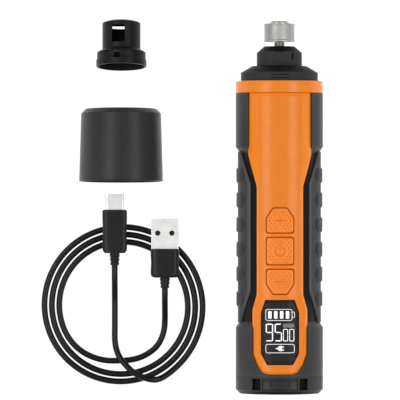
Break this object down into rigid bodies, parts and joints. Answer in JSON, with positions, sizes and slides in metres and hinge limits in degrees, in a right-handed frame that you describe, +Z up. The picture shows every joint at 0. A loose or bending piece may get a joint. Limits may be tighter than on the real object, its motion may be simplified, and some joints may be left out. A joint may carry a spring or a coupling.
{
  "type": "pet nail grinder",
  "caption": "Cordless handheld pet nail grinder lying on its flat back, with its nail guard, dust cover and coiled USB charging lead beside it.",
  "frame": {"origin": "on the rest plane, under the tool's axis, midway between its base cap's seam and its collar ring", "axes": "+Y along the tool's axis from the base end to the grinding drum, +Z up out of the front face, +X to the right of the display"},
  "size_m": [0.1255, 0.1632, 0.037],
  "materials": {
    "dark_plastic": "fine satin texture",
    "orange_plastic": "satin",
    "grip_rubber": "soft matte",
    "nose_plastic": "satin",
    "smoked_window": "smooth smoked window",
    "key_silicone": "matte with fine dots",
    "steel": "satin",
    "drum_core": "machined",
    "drum_grit": "fine diamond grit",
    "black_steel": "black oxide",
    "cover_plastic": "matte",
    "lead_jacket": "satin",
    "plug_plastic": "matte",
    "white_plastic": "matte",
    "black_plastic": "matte",
    "green_plastic": "matte",
    "board": "solder mask",
    "lit_mark": "lit",
    "cell_wrap": "shrink wrap",
    "magnet": "sintered",
    "copper": "enamelled winding",
    "brass": "plain",
    "seal_rubber": "matte",
    "wire": "insulated"
  },
  "bodies": {
    "housing": {"rear_shell": "dark_plastic", "front_shell": "dark_plastic", "front_panel": "orange_plastic", "collar_ring": "orange_plastic", "grip_left": "grip_rubber", "grip_right": "grip_rubber", "nose_base": "nose_plastic", "nose_collar": "nose_plastic", "base_cap": "dark_plastic", "display_lens": "smoked_window", "switch_housings": "black_plastic", "main_board": "board", "display_module": "black_plastic", "display_segments": "lit_mark", "battery_cell": "cell_wrap", "battery_tabs": "steel", "battery_tray": "white_plastic", "battery_leads": "wire", "motor_can": "steel", "motor_end_cap": "green_plastic", "motor_magnets": "magnet", "motor_bushes": "brass", "motor_terminals": "brass", "motor_sleeve": "seal_rubber", "motor_bracket": "white_plastic", "motor_screws": "steel", "motor_leads": "wire", "bearing_outer": "steel", "bearing_balls": "steel", "nose_seal": "seal_rubber", "usb_socket": "steel", "usb_socket_tongue": "black_plastic", "charge_board": "board", "charge_leads": "wire", "housing_screws": "black_steel", "board_screws": "steel"},
    "spindle": {"motor_armature": "copper", "motor_shaft": "steel", "chuck_sleeve": "steel", "bearing_inner": "steel", "drum_shank": "steel", "drum_hub": "drum_core", "drum_sleeve": "drum_grit", "drum_cap": "steel"},
    "plus_key": {"key_plus": "key_silicone", "stem_plus": "white_plastic"},
    "power_key": {"key_power": "key_silicone", "stem_power": "white_plastic"},
    "minus_key": {"key_minus": "key_silicone", "stem_minus": "white_plastic"},
    "guard": {"nail_guard": "cover_plastic"},
    "cover": {"dust_cover": "cover_plastic"},
    "lead": {"lead_coil": "lead_jacket", "lead_to_c": "lead_jacket", "lead_to_a": "lead_jacket", "c_plug_shell": "steel", "c_plug_body": "plug_plastic", "a_plug_shell": "steel", "a_plug_insulator": "white_plastic", "a_plug_body": "plug_plastic"}
  },
  "joints": [
    {"name": "spindle_spin", "type": "hinge", "parent": "housing", "child": "spindle", "pos_m": [0, 0, 0.017], "axis": [0, 1, 0], "continuous": true},
    {"name": "plus_key_press", "type": "slide", "parent": "housing", "child": "plus_key", "axis": [0, 0, -1], "range_m": [0, 0.0004], "stiffness_N_per_m": 600},
    {"name": "power_key_press", "type": "slide", "parent": "housing", "child": "power_key", "axis": [0, 0, -1], "range_m": [0, 0.0004], "stiffness_N_per_m": 600},
    {"name": "minus_key_press", "type": "slide", "parent": "housing", "child": "minus_key", "axis": [0, 0, -1], "range_m": [0, 0.0004], "stiffness_N_per_m": 600},
    {"name": "guard_lift", "type": "slide", "parent": "housing", "child": "guard", "axis": [0, 0, 1], "range_m": [0, 0.06]},
    {"name": "cover_lift", "type": "slide", "parent": "housing", "child": "cover", "axis": [0, 0, 1], "range_m": [0, 0.06]},
    {"name": "lead_lift", "type": "slide", "parent": "housing", "child": "lead", "axis": [0, 0, 1], "range_m": [0, 0.06]}
  ]
}
